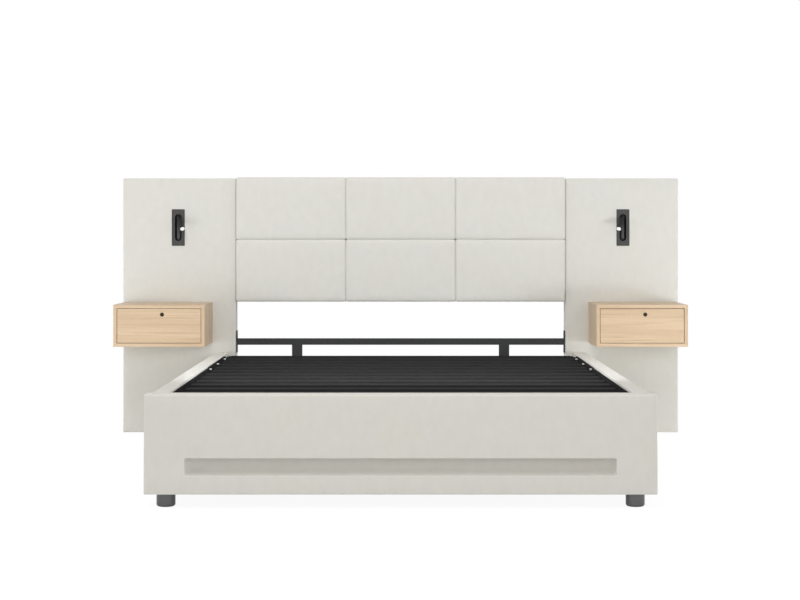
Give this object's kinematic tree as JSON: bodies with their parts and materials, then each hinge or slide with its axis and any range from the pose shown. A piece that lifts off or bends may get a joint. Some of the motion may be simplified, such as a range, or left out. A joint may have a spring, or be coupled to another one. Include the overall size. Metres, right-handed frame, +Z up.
{
  "type": "storage bed with bedside drawers",
  "caption": "Upholstered storage bed with a wide padded headboard, floating bedside drawers, recessed reading lamps and a lift-up steel slat deck.",
  "frame": {"origin": "on the floor, at the centre of the plan", "axes": "+Z up, +Y towards the headboard, +X to the right seen from the foot end"},
  "size_m": [2.484, 2.185, 1.14],
  "materials": {
    "upholstery": "woven, pale greige",
    "pad_fabric": "woven, pale greige over foam",
    "timber": "raw",
    "hardboard": "dark fibreboard",
    "black_steel": "satin black powder coat",
    "black_plastic": "matt",
    "zinc": "zinc plated",
    "foot_grey": "satin dark grey",
    "slide_steel": "zinc plated",
    "oak": "clear satin lacquer",
    "drawer_wood": "pale birch, sealed",
    "lock_bronze": "dark bronze",
    "strut_black": "gloss black",
    "polished_rod": "polished",
    "lamp_grey": "fine texture dark grey",
    "lamp_lens": "frosted white"
  },
  "bodies": {
    "root": {"case_runners": "slide_steel", "centre_beam": "black_steel", "centre_panel_board": "upholstery", "corner_brackets": "black_steel", "deck_ledges": "black_steel", "feet": "foot_grey", "floor_cleats": "timber", "footboard_core": "timber", "footboard_cover": "upholstery", "frame_screws": "zinc", "head_rail": "timber", "headboard_crossbar": "black_steel", "hinge_plates": "black_steel", "left_lamp_cup": "lamp_grey", "left_rail_cover": "upholstery", "left_unit_case": "oak", "left_wing_cover": "upholstery", "pad_lower_left": "pad_fabric", "pad_lower_middle": "pad_fabric", "pad_lower_right": "pad_fabric", "pad_upper_left": "pad_fabric", "pad_upper_middle": "pad_fabric", "pad_upper_right": "pad_fabric", "rail_cores": "timber", "right_lamp_cup": "lamp_grey", "right_rail_cover": "upholstery", "right_unit_case": "oak", "right_wing_cover": "upholstery", "storage_floor": "hardboard", "unit_backs": "oak", "wing_cores": "timber"},
    "deck": {"deck_side_angles": "black_steel", "deck_bars": "black_steel", "slats": "black_steel", "slat_caps": "black_plastic", "lift_arms": "black_steel", "lift_studs": "zinc"},
    "left_strut": {"left_strut_cylinder": "strut_black"},
    "left_rod": {"left_strut_rod": "polished_rod"},
    "right_strut": {"right_strut_cylinder": "strut_black"},
    "right_rod": {"right_strut_rod": "polished_rod"},
    "left_drawer": {"left_drawer_front": "oak", "left_drawer_box": "drawer_wood", "left_drawer_bottom": "drawer_wood", "left_drawer_glides": "slide_steel", "left_lock_barrel": "lock_bronze"},
    "left_lock": {"left_lock_plug": "lock_bronze"},
    "left_lamp_arm": {"left_lamp_swivel": "lamp_grey"},
    "left_lamp_head": {"left_lamp_tube": "lamp_grey", "left_lamp_lens": "lamp_lens"},
    "right_drawer": {"right_drawer_front": "oak", "right_drawer_box": "drawer_wood", "right_drawer_bottom": "drawer_wood", "right_drawer_glides": "slide_steel", "right_lock_barrel": "lock_bronze"},
    "right_lock": {"right_lock_plug": "lock_bronze"},
    "right_lamp_arm": {"right_lamp_swivel": "lamp_grey"},
    "right_lamp_head": {"right_lamp_tube": "lamp_grey", "right_lamp_lens": "lamp_lens"}
  },
  "joints": [
    {"name": "deck_lift", "type": "hinge", "parent": "root", "child": "deck", "pos_m": [0, 0.92, 0.296], "axis": [-1, 0, 0], "range_deg": [0, 50]},
    {"name": "left_strut_pivot", "type": "hinge", "parent": "root", "child": "left_strut", "pos_m": [-0.738, 0.88353, 0.08919], "axis": [-1, 0, 0], "range_deg": [0, 25]},
    {"name": "left_strut_extension", "type": "slide", "parent": "left_strut", "child": "left_rod", "axis": [0, -0.6428, 0.766], "range_m": [0, 0.111]},
    {"name": "right_strut_pivot", "type": "hinge", "parent": "root", "child": "right_strut", "pos_m": [0.738, 0.88353, 0.08919], "axis": [-1, 0, 0], "range_deg": [0, 25]},
    {"name": "right_strut_extension", "type": "slide", "parent": "right_strut", "child": "right_rod", "axis": [0, -0.6428, 0.766], "range_m": [0, 0.111]},
    {"name": "left_drawer_slide", "type": "slide", "parent": "root", "child": "left_drawer", "axis": [0, -1, 0], "range_m": [0, 0.19]},
    {"name": "left_lock_turn", "type": "hinge", "parent": "left_drawer", "child": "left_lock", "pos_m": [-1.0245, 0.74, 0.541], "axis": [0, -1, 0], "range_deg": [0, 90]},
    {"name": "left_lamp_swivel", "type": "hinge", "parent": "root", "child": "left_lamp_arm", "pos_m": [-0.9945, 1.035, 0.9615], "axis": [0, 0, 1], "range_deg": [-42, 0]},
    {"name": "left_lamp_tilt", "type": "hinge", "parent": "left_lamp_arm", "child": "left_lamp_head", "pos_m": [-0.9945, 1.035, 0.9615], "axis": [-0.9336, -0.3584, 0], "range_deg": [-56, 34]},
    {"name": "right_drawer_slide", "type": "slide", "parent": "root", "child": "right_drawer", "axis": [0, -1, 0], "range_m": [0, 0.19]},
    {"name": "right_lock_turn", "type": "hinge", "parent": "right_drawer", "child": "right_lock", "pos_m": [1.0505, 0.74, 0.541], "axis": [0, -1, 0], "range_deg": [0, 90]},
    {"name": "right_lamp_swivel", "type": "hinge", "parent": "root", "child": "right_lamp_arm", "pos_m": [0.9945, 1.035, 0.9615], "axis": [0, 0, 1], "range_deg": [0, 42]},
    {"name": "right_lamp_tilt", "type": "hinge", "parent": "right_lamp_arm", "child": "right_lamp_head", "pos_m": [0.9945, 1.035, 0.9615], "axis": [-0.9336, 0.3584, 0], "range_deg": [-56, 34]}
  ],
  "couplings": [
    {"joint": "left_strut_pivot", "follows": "deck_lift", "ratio": 0.5},
    {"joint": "left_strut_extension", "follows": "deck_lift", "m_per_rad": 0.12683},
    {"joint": "right_strut_pivot", "follows": "deck_lift", "ratio": 0.5},
    {"joint": "right_strut_extension", "follows": "deck_lift", "m_per_rad": 0.12683}
  ]
}
